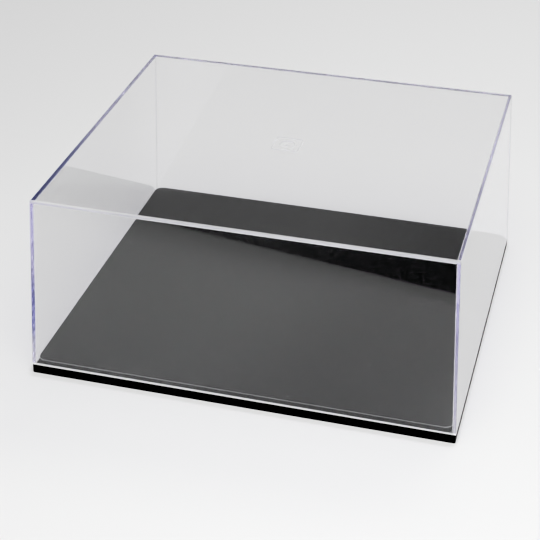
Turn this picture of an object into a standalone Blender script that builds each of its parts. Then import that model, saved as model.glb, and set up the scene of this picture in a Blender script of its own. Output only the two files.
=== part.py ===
"""Display case for a scale model: a clear one-piece cover that lifts straight off a black moulded base.

Metres, +Z up. The origin is the centre of the footprint, on the surface that the base stands on.
+X runs along the front of the case, and -Y is the front.
"""

from math import cos, pi, radians, sin, tan

import bmesh
import bpy
from mathutils import Vector

# Footprint, shared by the base and the foot of the cover.
CASE_WIDTH = 0.316
CASE_DEPTH = 0.276

# Cover: a five-sided box, open below, whose walls lean in so that it leaves its mould.
COVER_HEIGHT = 0.136
COVER_WALL = 0.0023
COVER_LEAN = radians(3.0)
COVER_OUTER_ROUND = 0.0004
COVER_INNER_ROUND = 0.0006
COVER_FOOT_ROUND = 0.0003

# Gate mark: where the plastic entered the mould, in the middle of the cover's top.
GATE_FRAME_SIDE = 0.021
GATE_FRAME_LINE = 0.0009
GATE_FRAME_CORNER = 0.0025
GATE_FRAME_DEPTH = 0.0003
GATE_DISH_RADIUS = 0.0058
GATE_DISH_DEPTH = 0.0005
GATE_STUB_RADIUS = 0.0016
GATE_STUB_HEIGHT = 0.0003

# Base: a ledge that carries the cover, round a raised platform that keeps the cover in place.
LEDGE_HEIGHT = 0.0068
PLATFORM_RISE = 0.0044
PLATFORM_INSET = 0.0034
PLATFORM_CORNER = 0.0055
PLATFORM_TOP_ROUND = 0.0005
BASE_CORNER = 0.0008
BASE_EDGE_ROUND = 0.0003

# Underside of the base: a thin skin with a grid of ribs, open below.
BASE_SKIN = 0.0022
RIB_THICKNESS = 0.0014
RIB_COLUMNS = 10
RIB_ROWS = 9
RIB_SETBACK = 0.0004

RESTING_GAP = 0.0003
CUTTER_MARGIN = 0.002
CORNER_STEPS = 8
ROUND_STEPS = 32


def clear_scene():
    for old in list(bpy.data.objects):
        bpy.data.objects.remove(old, do_unlink=True)


def plastic(name, colour, roughness, alpha=1.0, refraction=1.59):
    material = bpy.data.materials.new(name)
    material.use_nodes = True
    shader = material.node_tree.nodes["Principled BSDF"]
    shader.inputs["Base Color"].default_value = (*colour, 1.0)
    shader.inputs["Roughness"].default_value = roughness
    shader.inputs["Metallic"].default_value = 0.0
    shader.inputs["IOR"].default_value = refraction
    shader.inputs["Alpha"].default_value = alpha
    return material


def rectangle(width, depth, corner=0.0):
    """Points of a rectangle round the origin, anticlockwise. A corner radius makes each corner an arc."""
    points = []
    for turn, (side_x, side_y) in enumerate([(1, 1), (-1, 1), (-1, -1), (1, -1)]):
        centre = Vector((side_x * (width / 2 - corner), side_y * (depth / 2 - corner)))
        steps = CORNER_STEPS if corner else 0
        for step in range(steps + 1):
            angle = (turn + (step / steps if steps else 0.5)) * pi / 2
            points.append(centre + corner * Vector((cos(angle), sin(angle))))
    return points


def circle(radius):
    return [
        radius * Vector((cos(2 * pi * step / ROUND_STEPS), sin(2 * pi * step / ROUND_STEPS)))
        for step in range(ROUND_STEPS)
    ]


def loft(lower, low_z, upper, high_z):
    """A closed mesh between two flat outlines that have the same number of points."""
    mesh = bmesh.new()
    bottom = [mesh.verts.new((point.x, point.y, low_z)) for point in lower]
    top = [mesh.verts.new((point.x, point.y, high_z)) for point in upper]
    mesh.faces.new(list(reversed(bottom)))
    mesh.faces.new(top)
    for here in range(len(bottom)):
        following = (here + 1) % len(bottom)
        mesh.faces.new((bottom[here], bottom[following], top[following], top[here]))
    return mesh


def prism(outline, low_z, high_z):
    return loft(outline, low_z, outline, high_z)


def round_edges(mesh, radius, wanted, segments=2):
    """Rounds the edges that wanted() picks by their two end points."""
    chosen = [edge for edge in mesh.edges if wanted(edge.verts[0].co, edge.verts[1].co)]
    bmesh.ops.bevel(
        mesh, geom=chosen, offset=radius, segments=segments, profile=0.5, affect="EDGES", clamp_overlap=True
    )


def put_in_scene(name, mesh, material=None, origin=(0.0, 0.0, 0.0)):
    """Makes an object of the mesh, with its origin at the given point and its shape where it was drawn."""
    bmesh.ops.translate(mesh, vec=-Vector(origin), verts=mesh.verts)
    bmesh.ops.recalc_face_normals(mesh, faces=mesh.faces)
    data = bpy.data.meshes.new(name)
    mesh.to_mesh(data)
    mesh.free()
    data.shade_smooth()
    data.set_sharp_from_angle(angle=radians(30))
    made = bpy.data.objects.new(name, data)
    made.location = origin
    bpy.context.scene.collection.objects.link(made)
    if material:
        data.materials.append(material)
    return made


def helper(name, mesh):
    """An object that only cuts or joins others, and isn't a piece of the case."""
    made = put_in_scene(name, mesh)
    made.hide_render = True
    made.display_type = "WIRE"
    return made


def combine(target, other, operation):
    step = target.modifiers.new(f"{operation.lower()}_{other.name}", "BOOLEAN")
    step.operation = operation
    step.solver = "EXACT"
    step.object = other


def cover_outline(height, inset=0.0):
    """The cover's outline at a height above its foot, a given distance inside the outer face."""
    lean = height * tan(COVER_LEAN) + inset
    return rectangle(CASE_WIDTH - 2 * lean, CASE_DEPTH - 2 * lean)


def cover_cavity(foot_z):
    """The hollow inside the cover. It runs a little past the foot, so that the cover is open below."""
    ceiling = COVER_HEIGHT - COVER_WALL
    mesh = loft(
        cover_outline(-CUTTER_MARGIN, COVER_WALL), foot_z - CUTTER_MARGIN,
        cover_outline(ceiling, COVER_WALL), foot_z + ceiling,
    )
    middle = foot_z + ceiling / 2
    round_edges(mesh, COVER_INNER_ROUND, lambda a, b: max(a.z, b.z) > middle, segments=3)
    return helper("cover_cavity", mesh)


def gate_frame(top_z):
    """A square line pressed into the top, as a ring between two outlines."""
    low = top_z - GATE_FRAME_DEPTH
    high = top_z + CUTTER_MARGIN
    outer_side = GATE_FRAME_SIDE
    inner_side = GATE_FRAME_SIDE - 2 * GATE_FRAME_LINE
    outer = rectangle(outer_side, outer_side, GATE_FRAME_CORNER)
    inner = rectangle(inner_side, inner_side, GATE_FRAME_CORNER - GATE_FRAME_LINE)
    frame = helper("gate_frame", prism(outer, low, high))
    core = helper("gate_frame_core", prism(inner, low - CUTTER_MARGIN, high + CUTTER_MARGIN))
    combine(frame, core, "DIFFERENCE")
    return frame


def gate_dish(top_z):
    """A shallow round dish with the stub of the gate left standing in it, below the top face."""
    floor = top_z - GATE_DISH_DEPTH
    dish = helper("gate_dish", prism(circle(GATE_DISH_RADIUS), floor, top_z + CUTTER_MARGIN))
    stub = helper(
        "gate_stub", prism(circle(GATE_STUB_RADIUS), floor - CUTTER_MARGIN, floor + GATE_STUB_HEIGHT)
    )
    combine(dish, stub, "DIFFERENCE")
    return dish


def clear_cover(material):
    foot_z = LEDGE_HEIGHT + RESTING_GAP
    top_z = foot_z + COVER_HEIGHT
    mesh = loft(cover_outline(0.0), foot_z, cover_outline(COVER_HEIGHT), top_z)
    middle = (foot_z + top_z) / 2
    round_edges(mesh, COVER_OUTER_ROUND, lambda a, b: max(a.z, b.z) > middle)
    round_edges(mesh, COVER_FOOT_ROUND, lambda a, b: max(a.z, b.z) < middle, segments=1)
    cover = put_in_scene("clear_cover", mesh, material, origin=(0.0, 0.0, foot_z))
    combine(cover, cover_cavity(foot_z), "DIFFERENCE")
    combine(cover, gate_frame(top_z), "DIFFERENCE")
    combine(cover, gate_dish(top_z), "DIFFERENCE")
    return cover


def platform_outline(inset=0.0):
    """The raised platform's outline, a given distance inside its side."""
    edge = 2 * (PLATFORM_INSET + inset)
    return rectangle(CASE_WIDTH - edge, CASE_DEPTH - edge, PLATFORM_CORNER - inset)


def platform_block():
    top = LEDGE_HEIGHT + PLATFORM_RISE
    mesh = prism(platform_outline(), LEDGE_HEIGHT - BASE_SKIN / 2, top)
    round_edges(mesh, PLATFORM_TOP_ROUND, lambda a, b: min(a.z, b.z) > LEDGE_HEIGHT)
    return helper("platform_block", mesh)


def cell_spans(length, count):
    """The stretches between count - 1 evenly spaced ribs. The outer ones run past the skirt."""
    pitch = length / count
    spans = []
    for place in range(count):
        low = -length / 2 + place * pitch + RIB_THICKNESS / 2
        high = low + pitch - RIB_THICKNESS
        if place == 0:
            low -= CUTTER_MARGIN
        if place == count - 1:
            high += CUTTER_MARGIN
        spans.append((low, high))
    return spans


def rib_cells():
    """The open cells between the ribs, as one tall box each."""
    mesh = bmesh.new()
    height = 2 * (LEDGE_HEIGHT + PLATFORM_RISE)
    for low_x, high_x in cell_spans(CASE_WIDTH - 2 * BASE_SKIN, RIB_COLUMNS):
        for low_y, high_y in cell_spans(CASE_DEPTH - 2 * BASE_SKIN, RIB_ROWS):
            corners = bmesh.ops.create_cube(mesh, size=1.0)["verts"]
            bmesh.ops.scale(mesh, vec=(high_x - low_x, high_y - low_y, height), verts=corners)
            middle = ((low_x + high_x) / 2, (low_y + high_y) / 2, 0.0)
            bmesh.ops.translate(mesh, vec=middle, verts=corners)
    return helper("rib_cells", mesh)


def base_hollow():
    """The space under the skin, which steps up under the platform, less the ribs."""
    outline = rectangle(CASE_WIDTH - 2 * BASE_SKIN, CASE_DEPTH - 2 * BASE_SKIN)
    hollow = helper("base_hollow", prism(outline, -CUTTER_MARGIN, LEDGE_HEIGHT - BASE_SKIN))
    raised_top = LEDGE_HEIGHT + PLATFORM_RISE - BASE_SKIN
    raised_outline = platform_outline(inset=BASE_SKIN)
    raised = helper("raised_hollow", prism(raised_outline, -CUTTER_MARGIN / 2, raised_top))
    combine(hollow, raised, "UNION")
    combine(hollow, rib_cells(), "INTERSECT")
    return hollow


def rib_setback():
    """A shallow step that keeps the ribs off the table, so that the case stands on its skirt."""
    outline = rectangle(CASE_WIDTH - 2 * BASE_SKIN, CASE_DEPTH - 2 * BASE_SKIN)
    return helper("rib_setback", prism(outline, -2 * CUTTER_MARGIN, RIB_SETBACK))


def black_base(material):
    mesh = prism(rectangle(CASE_WIDTH, CASE_DEPTH, BASE_CORNER), 0.0, LEDGE_HEIGHT)
    round_edges(mesh, BASE_EDGE_ROUND, lambda a, b: abs(a.z - b.z) < BASE_EDGE_ROUND)
    base = put_in_scene("black_base", mesh, material)
    combine(base, platform_block(), "UNION")
    combine(base, base_hollow(), "DIFFERENCE")
    combine(base, rib_setback(), "DIFFERENCE")
    return base


clear_scene()
clear_cover(plastic("clear_polystyrene", (0.93, 0.92, 0.98), roughness=0.03, alpha=0.25))
black_base(plastic("black_polystyrene", (0.008, 0.008, 0.009), roughness=0.32))
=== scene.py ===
"""The display case as it looks: a clear moulded cover standing on a black moulded base, on a pale table.

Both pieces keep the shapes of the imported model. This script gives them their plastics, and adds the camera,
the table and the studio around them.
"""

from math import pi, radians

import bmesh
import bpy
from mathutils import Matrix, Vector


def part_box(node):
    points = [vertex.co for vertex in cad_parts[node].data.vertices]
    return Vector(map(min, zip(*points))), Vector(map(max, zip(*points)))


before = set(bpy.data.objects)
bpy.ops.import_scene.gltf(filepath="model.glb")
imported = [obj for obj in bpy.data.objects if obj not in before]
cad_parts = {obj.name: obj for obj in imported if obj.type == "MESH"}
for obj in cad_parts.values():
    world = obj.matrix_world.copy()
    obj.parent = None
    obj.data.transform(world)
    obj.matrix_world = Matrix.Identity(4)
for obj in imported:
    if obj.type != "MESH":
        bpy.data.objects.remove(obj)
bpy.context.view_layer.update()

COVER_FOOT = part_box("clear_cover")[0].z
COVER_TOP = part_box("clear_cover")[1].z
PLATFORM_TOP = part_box("black_base")[1].z

WHITE = (1.0, 1.0, 1.0, 1.0)

# The camera: a long lens, looking down on the case's front right corner.
CAMERA_PLACE = (0.2411, -0.9237, 0.6342)
CAMERA_AZIMUTH = radians(15.4)
CAMERA_ELEVATION = radians(31.14)
CAMERA_LENS = 95.64
CAMERA_SENSOR = 36.0
CAMERA_SHIFT = -0.0509
CAMERA_NEAR = 0.01
CAMERA_FAR = 50.0

# Light that enters a wall's edge is mirrored this often, at most, before it leaves.
MOST_BOUNCES = 128

# Polystyrene bends light more than window glass does. The clear kind turns violet in depth.
POLYSTYRENE_IOR = 1.59
DEPTH_COLOUR = (0.1, 0.0, 0.82, 1.0)
DEPTH_DENSITY = 2.0
SHADOW_COLOUR = (0.94, 0.94, 0.95, 1.0)

# Below, a scale counts features per metre, and a share runs from 0 for clean to 1 for covered. A range holds
# the values of a noise over which one look passes into the next. So do the pairs named along, depths and
# heights, in metres to the right, to the back and up.

# The cover's waves and dust.
WAVE_SCALE = 12.0
WAVE_HEIGHT = 0.000004
DUST_COLOUR = (0.95, 0.95, 0.95, 1.0)
FILM_SCALE = 160.0
FILM_RANGE = (0.3, 0.7)
FILM_SHARES = (0.004, 0.006)
TOP_FILM_HEIGHTS = (COVER_TOP - 0.0004, COVER_TOP - 0.0001)
TOP_FILM_TIMES = 4.0
SPECK_SCALE = 520.0
SPECK_RANGE = (0.88, 0.92)
SPECK_SHARE = 0.1
SCRATCH_SCALES = (5.0, 800.0, 800.0)
SCRATCH_RANGE = (0.76, 0.84)
SCRATCH_SHARE = 0.003

# The front top edge, whitened as a painted highlight, and the mark pressed into the middle of the top.
EDGE_HIGHLIGHT_HEIGHTS = (COVER_TOP - 0.0018, COVER_TOP - 0.0014)
EDGE_HIGHLIGHT_DEPTHS = (-0.1292, -0.1286)
EDGE_HIGHLIGHT_SHARE = 0.45
PRESSED_LOW_HEIGHTS = (COVER_TOP - 0.0008, COVER_TOP - 0.0006)
PRESSED_HIGH_HEIGHTS = (COVER_TOP - 0.00025, COVER_TOP - 0.0001)
PRESSED_SIDES = (0.012, 0.0125)
PRESSED_SHARE = 0.3

# The cover's foot, scuffed up to a little above the ledge in front, and only on its sole elsewhere.
SCUFF_ALONG = (-0.05, 0.16)
SCUFF_TOPS = (COVER_FOOT + 0.0010, COVER_FOOT + 0.0007)
FRONT_WALL_DEPTHS = (-0.1345, -0.1335)
SOLE_TOP = COVER_FOOT + 0.0001
SOLE_ALONG = (-0.15, 0.15)
SOLE_SHARES = (0.4, 0.3)
BACK_SOLE_DEPTHS = (0.0, 0.1)
BACK_SOLE_SHARE = 0.5

# The part of the foot where the scuffing is painted navy, as painted shade.
PAINTED_SHADE_COLOUR = (0.08, 0.12, 0.42, 1.0)
PAINTED_SHADE_ALONG = (-0.1, 0.1)
PAINTED_SHADE_FRONT_DEPTHS = (-0.1, -0.05)
PAINTED_SHADE_BACK_DEPTHS = (0.0, 0.09)

# The base's plastic, its dust, and a painted highlight: a lighter band just under the platform's top edge.
GRAIN_SCALE = 420.0
GRAIN_HEIGHT = 0.0001
GRAIN_STRENGTH = 0.25
GRAIN_RANGE = (0.44, 0.66)
GRAIN_GREY = 0.015
MOTTLING_SCALE = 110.0
MOTTLING_RANGE = (0.38, 0.66)
MOTTLING_GREY = 0.004
BASE_SHINE = 0.05
ROUGHNESS_RANGE = (0.3, 0.7)
BASE_ROUGHNESSES = (0.34, 0.46)
BASE_SPECK_SCALE = 420.0
BASE_SPECK_RANGE = (0.84, 0.88)
BASE_SPECK_HEIGHTS = (PLATFORM_TOP - 0.0001, PLATFORM_TOP - 0.00005)
BASE_SPECK_GREY = 0.2
RIM_HIGHLIGHT_LOW_HEIGHTS = (PLATFORM_TOP - 0.0009, PLATFORM_TOP - 0.0005)
RIM_HIGHLIGHT_HIGH_HEIGHTS = (PLATFORM_TOP - 0.00015, PLATFORM_TOP - 0.00003)
RIM_HIGHLIGHT_GREY = 0.3

# The table's near edge, beyond which the studio is dark. The cover's front wall mirrors it, as a painted
# reflection on a sheet that only reflections see, with painted shade on the table near the edge.
TABLE_SIZE = 8.0
TABLE_COLOUR = (0.80, 0.80, 0.80, 1.0)
TABLE_EDGE_MIDDLE = Vector((0.0, -0.3845, 0.002))
TABLE_EDGE_TURN = radians(11.3)
DARK_LENGTH = 4.0
DARK_DEPTH = 3.0
DARK_EDGE_DEPTHS = (-0.0005, 0.0005)
DARK_GREY_ALONG = (-0.25, 0.15)
DARK_GREY = 0.2
DUSK_DEPTH = 0.3
DUSK_REACH = 0.07
DUSK_SHARE = 0.6
DUSK_POWER = 2.0
ASIDE_START_ALONG = (-0.03, 0.1)
ASIDE_END_ALONG = (0.15, 0.2)
ASIDE_SHARE = 0.2

# The backdrop's light. It is bright up to an edge that rises to the right, and dim above the edge.
# Its ranges are parts of a direction of length 1.
ROOM_LIGHT = 0.15
BACKDROP_LOW = 0.6
BACKDROP_HIGH_ALONG = (-0.2, -0.1)
BACKDROP_HIGHS = (0.22, 0.12)
BACKDROP_EDGE_RANGE = (0.489, 0.497)
BACKDROP_EDGE_RISE = 0.1
BACKDROP_EDGE_PIVOT = 0.2
FAR_LEFT_ALONG = (-0.345, -0.30)
FAR_LEFT_TIMES = 0.5
DARK_SIDE_DEPTHS = (-0.1, 0.1)
DARK_SIDE_TIMES = 0.25

# The softboxes: size, power, place, and the point that each one faces.
FRONT_SOFTBOX = ((1.2, 0.9), 22.5, (0.3, -0.7, 1.4), (0.3, -0.7, 0))
BACK_SOFTBOX = ((1.0, 0.6), 11.0, (0.3, 0.9, 1.5), (0.3, 0.9, 0))

# The picture's contrast, as pairs of light going in and light coming out: deep blacks, and soft light greys.
CONTRAST = ((0.024, 0.0045), (0.05, 0.035), (0.1, 0.094), (0.485, 0.61), (0.7, 0.74), (0.85, 0.86))


class Shader:
    """The node tree of one material, or of the world, written one node at a time."""

    def __init__(self, owner):
        owner.use_nodes = True
        self.tree = owner.node_tree
        self.tree.nodes.clear()

    def node(self, kind, inputs=None, **settings):
        made = self.tree.nodes.new(kind)
        for setting, value in settings.items():
            setattr(made, setting, value)
        for socket, value in (inputs or {}).items():
            self.feed(made.inputs[socket], value)
        return made

    def feed(self, socket, value):
        if isinstance(value, bpy.types.NodeSocket):
            self.tree.links.new(value, socket)
        else:
            socket.default_value = value

    def math(self, operation, first, second=0.0):
        return self.node("ShaderNodeMath", {0: first, 1: second}, operation=operation).outputs[0]

    def mix(self, share, first, second):
        return self.node("ShaderNodeMixShader", {0: share, 1: first, 2: second}).outputs[0]

    def noise(self, place, scale, detail=2.0, roughness=0.5):
        inputs = {"Vector": place, "Scale": scale, "Detail": detail, "Roughness": roughness}
        return self.node("ShaderNodeTexNoise", inputs).outputs["Fac"]

    def step(self, value, low, high, first=0.0, last=1.0):
        """The value, carried smoothly from first at low to last at high."""
        inputs = {"Value": value, "From Min": low, "From Max": high, "To Min": first, "To Max": last}
        return self.node("ShaderNodeMapRange", inputs, interpolation_type="SMOOTHSTEP").outputs["Result"]

    def place(self):
        return self.node("ShaderNodeTexCoord").outputs["Object"]


def new_material(name):
    material = bpy.data.materials.new(name)
    return material, Shader(material)


def dust_on_cover(shader, place, height):
    """A film that lies thicker on the top, specks, and scratches that run along the cover's length."""
    film = shader.step(shader.noise(place, FILM_SCALE, 3.0, 0.7), *FILM_RANGE, *FILM_SHARES)
    settled = shader.step(height, *TOP_FILM_HEIGHTS, 1.0, TOP_FILM_TIMES)
    specks = shader.step(shader.noise(place, SPECK_SCALE, 0.0), *SPECK_RANGE, 0.0, SPECK_SHARE)
    stretched = shader.node("ShaderNodeVectorMath", {0: place, 1: SCRATCH_SCALES}, operation="MULTIPLY")
    scratches = shader.step(shader.noise(stretched.outputs[0], 1.0, 1.0), *SCRATCH_RANGE, 0.0, SCRATCH_SHARE)
    haze = shader.math("MULTIPLY", film, settled)
    return shader.math("ADD", haze, shader.math("ADD", specks, scratches))


def edge_highlight_and_pressed_mark(shader, along, depth, height):
    """The front top edge, whitened as a painted highlight, and the pressed lines of the mark in the middle of
    the top.
    """
    # Painted highlight: the front top edge is whitened to stand in for the bright band of light inside the
    # front wall.
    painted_edge_highlight = shader.math(
        "MULTIPLY",
        shader.step(height, *EDGE_HIGHLIGHT_HEIGHTS, 0.0, 1.0),
        shader.step(depth, *EDGE_HIGHLIGHT_DEPTHS, EDGE_HIGHLIGHT_SHARE, 0.0),
    )
    from_middle = shader.math("MAXIMUM", shader.math("ABSOLUTE", along), shader.math("ABSOLUTE", depth))
    sunk = shader.math(
        "MULTIPLY",
        shader.step(height, *PRESSED_LOW_HEIGHTS, 0.0, 1.0),
        shader.step(height, *PRESSED_HIGH_HEIGHTS, 1.0, 0.0),
    )
    inside = shader.step(from_middle, *PRESSED_SIDES, PRESSED_SHARE, 0.0)
    return shader.math("ADD", painted_edge_highlight, shader.math("MULTIPLY", sunk, inside))


def scuffed_foot(shader, along, depth, height):
    """How far the foot is scuffed: wholly in front, and on the rest of its sole in part."""
    scuffed_to = shader.step(along, *SCUFF_ALONG, *SCUFF_TOPS)
    front = shader.math(
        "MULTIPLY",
        shader.step(depth, *FRONT_WALL_DEPTHS, 1.0, 0.0),
        shader.math("LESS_THAN", height, scuffed_to),
    )
    elsewhere = shader.math(
        "MAXIMUM",
        shader.step(along, *SOLE_ALONG, *SOLE_SHARES),
        shader.step(depth, *BACK_SOLE_DEPTHS, 0.0, BACK_SOLE_SHARE),
    )
    sole = shader.math("LESS_THAN", height, SOLE_TOP)
    return shader.math("MAXIMUM", front, shader.math("MULTIPLY", sole, elsewhere))


def painted_foot_shade(shader, along, depth):
    """The left part of the foot, from near its front to the middle, where the scuffing is painted navy as
    painted shade.
    """
    return shader.math(
        "MULTIPLY",
        shader.step(along, *PAINTED_SHADE_ALONG, 1.0, 0.0),
        shader.math(
            "MULTIPLY",
            shader.step(depth, *PAINTED_SHADE_FRONT_DEPTHS, 0.0, 1.0),
            shader.step(depth, *PAINTED_SHADE_BACK_DEPTHS, 1.0, 0.0),
        ),
    )


def clear_polystyrene():
    """Clear, faintly violet in depth, with a haze of dust, specks and fine scratches, a painted highlight
    along the front top edge, and a scuffed foot with navy painted shade on its left part.
    """
    material, shader = new_material("clear_polystyrene")
    place = shader.place()
    along, depth, height = shader.node("ShaderNodeSeparateXYZ", {0: place}).outputs
    waviness = shader.node(
        "ShaderNodeBump",
        {"Height": shader.noise(place, WAVE_SCALE, 1.0), "Strength": 1.0, "Distance": WAVE_HEIGHT},
    ).outputs[0]
    glass = shader.node(
        "ShaderNodeBsdfPrincipled",
        {
            "Base Color": WHITE,
            "Roughness": 0.0,
            "IOR": POLYSTYRENE_IOR,
            "Transmission Weight": 1.0,
            "Normal": waviness,
        },
    ).outputs[0]
    lit = shader.node("ShaderNodeBsdfDiffuse", {"Color": DUST_COLOUR}).outputs[0]
    lit_behind = shader.node("ShaderNodeBsdfTranslucent", {"Color": DUST_COLOUR}).outputs[0]
    dust = shader.math(
        "ADD",
        dust_on_cover(shader, place, height),
        edge_highlight_and_pressed_mark(shader, along, depth, height),
    )
    dusty = shader.mix(dust, glass, shader.mix(0.5, lit, lit_behind))
    # Painted shade: navy laid on the scuffing of the foot's left part.
    navy = shader.node("ShaderNodeBsdfDiffuse", {"Color": PAINTED_SHADE_COLOUR}).outputs[0]
    frost_and_painted_shade = shader.mix(painted_foot_shade(shader, along, depth), lit, navy)
    seen = shader.mix(scuffed_foot(shader, along, depth, height), dusty, frost_and_painted_shade)
    # Light that falls through the cover goes straight on, so the cover's shadow is soft and even.
    unbent = shader.node("ShaderNodeBsdfTransparent", {"Color": SHADOW_COLOUR}).outputs[0]
    path = shader.node("ShaderNodeLightPath").outputs
    lighting = shader.math("MAXIMUM", path["Is Shadow Ray"], path["Is Diffuse Ray"])
    surface = shader.mix(lighting, seen, unbent)
    tint = shader.node("ShaderNodeVolumeAbsorption", {"Color": DEPTH_COLOUR, "Density": DEPTH_DENSITY})
    shader.node("ShaderNodeOutputMaterial", {"Surface": surface, "Volume": tint.outputs[0]})
    return material


def black_polystyrene():
    """Satin black with a fine grain, faint mottling, settled dust, and a painted highlight in a lighter band
    along the platform's top edge.
    """
    material, shader = new_material("black_polystyrene")
    place = shader.place()
    height = shader.node("ShaderNodeSeparateXYZ", {0: place}).outputs["Z"]
    grain = shader.noise(place, GRAIN_SCALE, 2.0, 0.6)
    mottling = shader.noise(place, MOTTLING_SCALE, 3.0, 0.6)
    grey = shader.math(
        "ADD",
        shader.step(grain, *GRAIN_RANGE, 0.0, GRAIN_GREY),
        shader.step(mottling, *MOTTLING_RANGE, 0.0, MOTTLING_GREY),
    )
    # Painted highlight: a lighter grey band just under the platform's top, where its edge catches the light.
    painted_rim_highlight = shader.math(
        "MULTIPLY",
        shader.step(height, *RIM_HIGHLIGHT_LOW_HEIGHTS, 0.0, RIM_HIGHLIGHT_GREY),
        shader.step(height, *RIM_HIGHLIGHT_HIGH_HEIGHTS, 1.0, 0.0),
    )
    specks = shader.math(
        "MULTIPLY",
        shader.step(height, *BASE_SPECK_HEIGHTS, 0.0, 1.0),
        shader.step(shader.noise(place, BASE_SPECK_SCALE, 0.0), *BASE_SPECK_RANGE, 0.0, BASE_SPECK_GREY),
    )
    level = shader.math("ADD", grey, shader.math("ADD", painted_rim_highlight, specks))
    relief = shader.node(
        "ShaderNodeBump",
        {"Height": grain, "Strength": GRAIN_STRENGTH, "Distance": GRAIN_HEIGHT},
    ).outputs[0]
    surface = shader.node(
        "ShaderNodeBsdfPrincipled",
        {
            "Base Color": shader.node("ShaderNodeCombineXYZ", {0: level, 1: level, 2: level}).outputs[0],
            "Roughness": shader.step(mottling, *ROUGHNESS_RANGE, *BASE_ROUGHNESSES),
            "IOR": POLYSTYRENE_IOR,
            "Specular IOR Level": BASE_SHINE,
            "Normal": relief,
        },
    ).outputs[0]
    shader.node("ShaderNodeOutputMaterial", {"Surface": surface})
    return material


def dress(node, material):
    """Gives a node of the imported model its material."""
    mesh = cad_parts[node].data
    mesh.materials.clear()
    mesh.materials.append(material)


def sheet(name, corners, material):
    """A flat piece of the stage."""
    shape = bmesh.new()
    shape.faces.new([shape.verts.new(corner) for corner in corners])
    mesh = bpy.data.meshes.new(name)
    shape.to_mesh(mesh)
    shape.free()
    mesh.materials.append(material)
    made = bpy.data.objects.new(name, mesh)
    bpy.context.scene.collection.objects.link(made)
    return made


def table():
    material, shader = new_material("table_paper")
    surface = shader.node(
        "ShaderNodeBsdfPrincipled",
        {"Base Color": TABLE_COLOUR, "Roughness": 1.0, "Specular IOR Level": 0.0},
    ).outputs[0]
    shader.node("ShaderNodeOutputMaterial", {"Surface": surface})
    half = TABLE_SIZE / 2
    sheet("table", [(-half, -half, 0), (half, -half, 0), (half, half, 0), (-half, half, 0)], material)


def dark_beyond_the_table():
    """A painted reflection: beyond the table's near edge a dark room with a painted grey glow to the left,
    and painted shade on the table near the edge and in a band right of the middle.

    Only what the case mirrors shows it.
    """
    material, shader = new_material("painted_dark_reflection")
    across, away, _ = shader.node("ShaderNodeSeparateXYZ", {0: shader.place()}).outputs
    grey = shader.step(across, *DARK_GREY_ALONG, DARK_GREY, 0.0)
    dark = shader.node("ShaderNodeEmission", {"Color": WHITE, "Strength": grey}).outputs[0]
    unseen = shader.node("ShaderNodeBsdfTransparent").outputs[0]
    beyond = shader.step(away, *DARK_EDGE_DEPTHS, 1.0, 0.0)
    nearness = shader.node("ShaderNodeMapRange", {"Value": away, "From Min": DUSK_REACH, "From Max": 0.0})
    deepening = shader.math("POWER", nearness.outputs["Result"], DUSK_POWER)
    dusk = shader.math("MULTIPLY", deepening, DUSK_SHARE)
    aside = shader.math(
        "MULTIPLY",
        shader.step(across, *ASIDE_START_ALONG, 0.0, ASIDE_SHARE),
        shader.step(across, *ASIDE_END_ALONG, 1.0, 0.0),
    )
    shade = shader.math("MAXIMUM", beyond, shader.math("MAXIMUM", dusk, aside))
    mirrored = shader.math("GREATER_THAN", shader.node("ShaderNodeLightPath").outputs["Glossy Depth"], 0.5)
    shown = shader.mix(shader.math("MULTIPLY", mirrored, shade), unseen, dark)
    shader.node("ShaderNodeOutputMaterial", {"Surface": shown})
    half = DARK_LENGTH / 2
    corners = [(-half, -DARK_DEPTH, 0), (half, -DARK_DEPTH, 0), (half, DUSK_DEPTH, 0), (-half, DUSK_DEPTH, 0)]
    made = sheet("painted_dark_reflection", corners, material)
    made.location = TABLE_EDGE_MIDDLE
    made.rotation_euler.z = TABLE_EDGE_TURN
    made.visible_shadow = False
    made.visible_diffuse = False


def lamp(name, size, power, place, aim):
    data = bpy.data.lights.new(name, "AREA")
    data.shape = "RECTANGLE"
    data.size, data.size_y = size
    data.energy = power
    made = bpy.data.objects.new(name, data)
    made.location = place
    made.rotation_euler = (Vector(place) - Vector(aim)).to_track_quat("Z", "Y").to_euler()
    bpy.context.scene.collection.objects.link(made)


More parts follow.
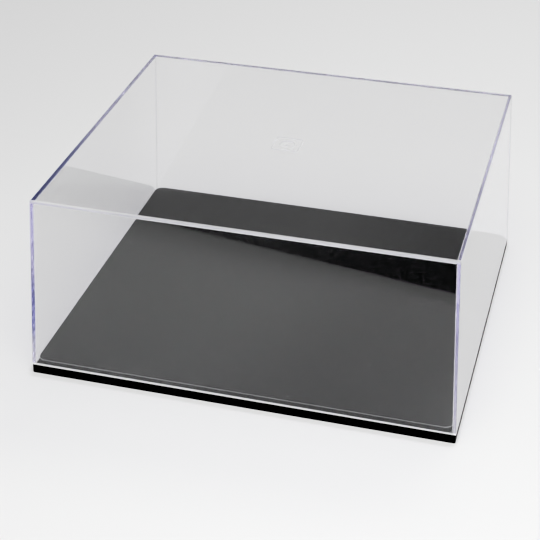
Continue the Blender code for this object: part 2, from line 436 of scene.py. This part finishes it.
def backdrop_light(shader):
    """How bright the backdrop is in each direction."""
    direction = shader.node("ShaderNodeTexCoord").outputs["Generated"]
    right, away, up = shader.node("ShaderNodeSeparateXYZ", {0: direction}).outputs
    rise = shader.math("MULTIPLY", shader.math("ADD", right, BACKDROP_EDGE_PIVOT), BACKDROP_EDGE_RISE)
    above = shader.math("SUBTRACT", up, rise)
    high = shader.step(right, *BACKDROP_HIGH_ALONG, *BACKDROP_HIGHS)
    level = shader.step(above, *BACKDROP_EDGE_RANGE, BACKDROP_LOW, high)
    aside = shader.step(right, *FAR_LEFT_ALONG, FAR_LEFT_TIMES, 1.0)
    room = shader.step(away, *DARK_SIDE_DEPTHS, DARK_SIDE_TIMES, 1.0)
    return shader.math("MULTIPLY", shader.math("MULTIPLY", level, aside), room)


def studio():
    """Two softboxes, an even light on dull surfaces, and a backdrop that all other rays see."""
    world = bpy.data.worlds.new("studio")
    bpy.context.scene.world = world
    shader = Shader(world)
    backdrop = shader.node("ShaderNodeBackground", {"Color": WHITE, "Strength": backdrop_light(shader)})
    around = shader.node("ShaderNodeBackground", {"Color": WHITE, "Strength": ROOM_LIGHT})
    lighting = shader.node("ShaderNodeLightPath").outputs["Is Diffuse Ray"]
    light = shader.mix(lighting, backdrop.outputs[0], around.outputs[0])
    shader.node("ShaderNodeOutputWorld", {"Surface": light})
    lamp("front_softbox", *FRONT_SOFTBOX)
    lamp("back_softbox", *BACK_SOFTBOX)


def camera():
    data = bpy.data.cameras.new("camera")
    data.sensor_width = CAMERA_SENSOR
    data.lens = CAMERA_LENS
    data.shift_y = CAMERA_SHIFT
    data.clip_start = CAMERA_NEAR
    data.clip_end = CAMERA_FAR
    made = bpy.data.objects.new("camera", data)
    made.location = CAMERA_PLACE
    made.rotation_euler = (pi / 2 - CAMERA_ELEVATION, 0.0, CAMERA_AZIMUTH)
    bpy.context.scene.collection.objects.link(made)
    bpy.context.scene.camera = made


def light_paths():
    """Lets light run along inside the walls from edge to edge."""
    cycles = bpy.context.scene.cycles
    cycles.max_bounces = MOST_BOUNCES
    cycles.glossy_bounces = MOST_BOUNCES
    cycles.transmission_bounces = MOST_BOUNCES


def contrast():
    settings = bpy.context.scene.view_settings
    settings.view_transform = "Standard"
    settings.use_curve_mapping = True
    for light_in, light_out in CONTRAST:
        settings.curve_mapping.curves[3].points.new(light_in, light_out)
    settings.curve_mapping.update()


camera()
light_paths()
contrast()
table()
dark_beyond_the_table()
studio()
dress("clear_cover", clear_polystyrene())
dress("black_base", black_polystyrene())
